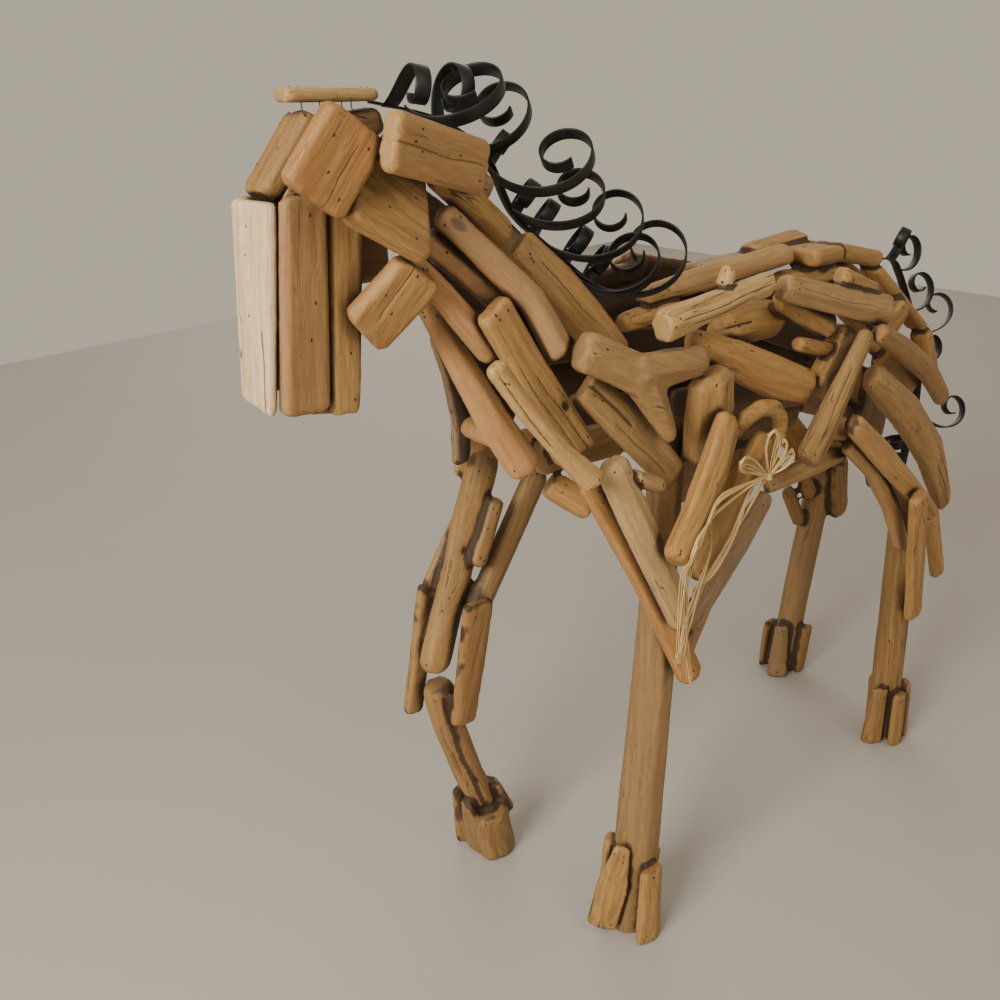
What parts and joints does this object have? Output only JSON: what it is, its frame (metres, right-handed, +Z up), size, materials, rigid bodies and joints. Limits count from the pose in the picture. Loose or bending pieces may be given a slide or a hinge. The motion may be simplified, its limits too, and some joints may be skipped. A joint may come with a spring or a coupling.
{
  "type": "driftwood horse sculpture",
  "caption": "Free-standing horse nailed together from sea-worn sticks and planks, with curled black metal strips for mane and tail and a raffia bow on one flank.",
  "frame": {"origin": "middle of the underside of the horse's bounding box, level with the undersides of its feet", "axes": "+X runs from the head towards the tail, so the horse faces -X; +Y is its right flank; +Z is up"},
  "size_m": [0.9718, 0.3298, 0.8101],
  "materials": {
    "tan_wood": "bare sea-worn wood, dull, with fine grain, knots and nail heads",
    "orange_wood": "bare sea-worn wood of a warmer tone, dull",
    "pale_wood": "bare bleached wood, dull, with dirt in its cracks",
    "pink_wood": "bare smooth wood with a pinkish tone, dull",
    "grey_wood": "bare weathered greyish wood, dull",
    "inner_wood": "bare darker wood inside the body, dull",
    "black_strip": "thin steel strip painted satin black",
    "raffia": "dry raffia straw, dull",
    "nails": "small dark heads of rusted steel nails"
  },
  "bodies": {
    "root": {"left_fore_post": "tan_wood", "right_fore_cannon": "tan_wood", "left_hind_post": "tan_wood", "right_hind_post": "tan_wood", "inner_face_plank": "inner_wood", "nose_bridge_plank": "pale_wood", "forehead_plank": "tan_wood", "left_nose_plank": "orange_wood", "left_muzzle_plank": "tan_wood", "right_head_planks": "tan_wood", "left_jowl_plank": "tan_wood", "left_cheek_plank": "tan_wood", "left_temple_plank": "orange_wood", "left_nape_plank": "tan_wood", "poll_plank": "pale_wood", "right_neck_sticks": "grey_wood", "left_nape_stick": "tan_wood", "left_crest_plank": "tan_wood", "right_breast_stick": "grey_wood", "left_throat_sticks": "pink_wood", "breast_cross_bar": "tan_wood", "left_neck_middle_stick": "orange_wood", "left_throat_bend_stick": "pink_wood", "knot_stick": "pink_wood", "cracked_breast_plank": "tan_wood", "pale_breast_slat": "pale_wood", "split_shoulder_board": "tan_wood", "ridge_sticks": "tan_wood", "split_end_log": "tan_wood", "belly_slat": "pale_wood", "flank_stub_branch": "tan_wood", "smooth_flank_log": "tan_wood", "sawn_wither_branch": "pale_wood", "left_croup_plank": "tan_wood", "left_elbow_plank": "tan_wood", "dark_elbow_slat": "orange_wood", "forked_shoulder_piece": "tan_wood", "left_stifle_sticks": "tan_wood", "long_thigh_stick": "tan_wood", "inner_thigh_stick": "tan_wood", "buttock_stick": "tan_wood", "diagonal_flank_stick": "tan_wood", "flank_hook": "tan_wood", "rump_top_blocks": "tan_wood", "inner_flank_sticks": "inner_wood", "back_elbow_stick": "grey_wood", "bow_elbow_stick": "tan_wood", "long_elbow_stick": "orange_wood", "forked_foreleg_stick": "pale_wood", "front_elbow_stick": "tan_wood", "right_forearm": "tan_wood", "left_gaskin_stick": "tan_wood", "left_hock_slat": "tan_wood", "right_shoulder_sticks": "tan_wood", "right_flank_sticks": "tan_wood", "right_haunch_sticks": "tan_wood", "mane_strips": "black_strip", "tail_strips": "black_strip", "raffia_bow": "raffia"}
  },
  "joints": []
}
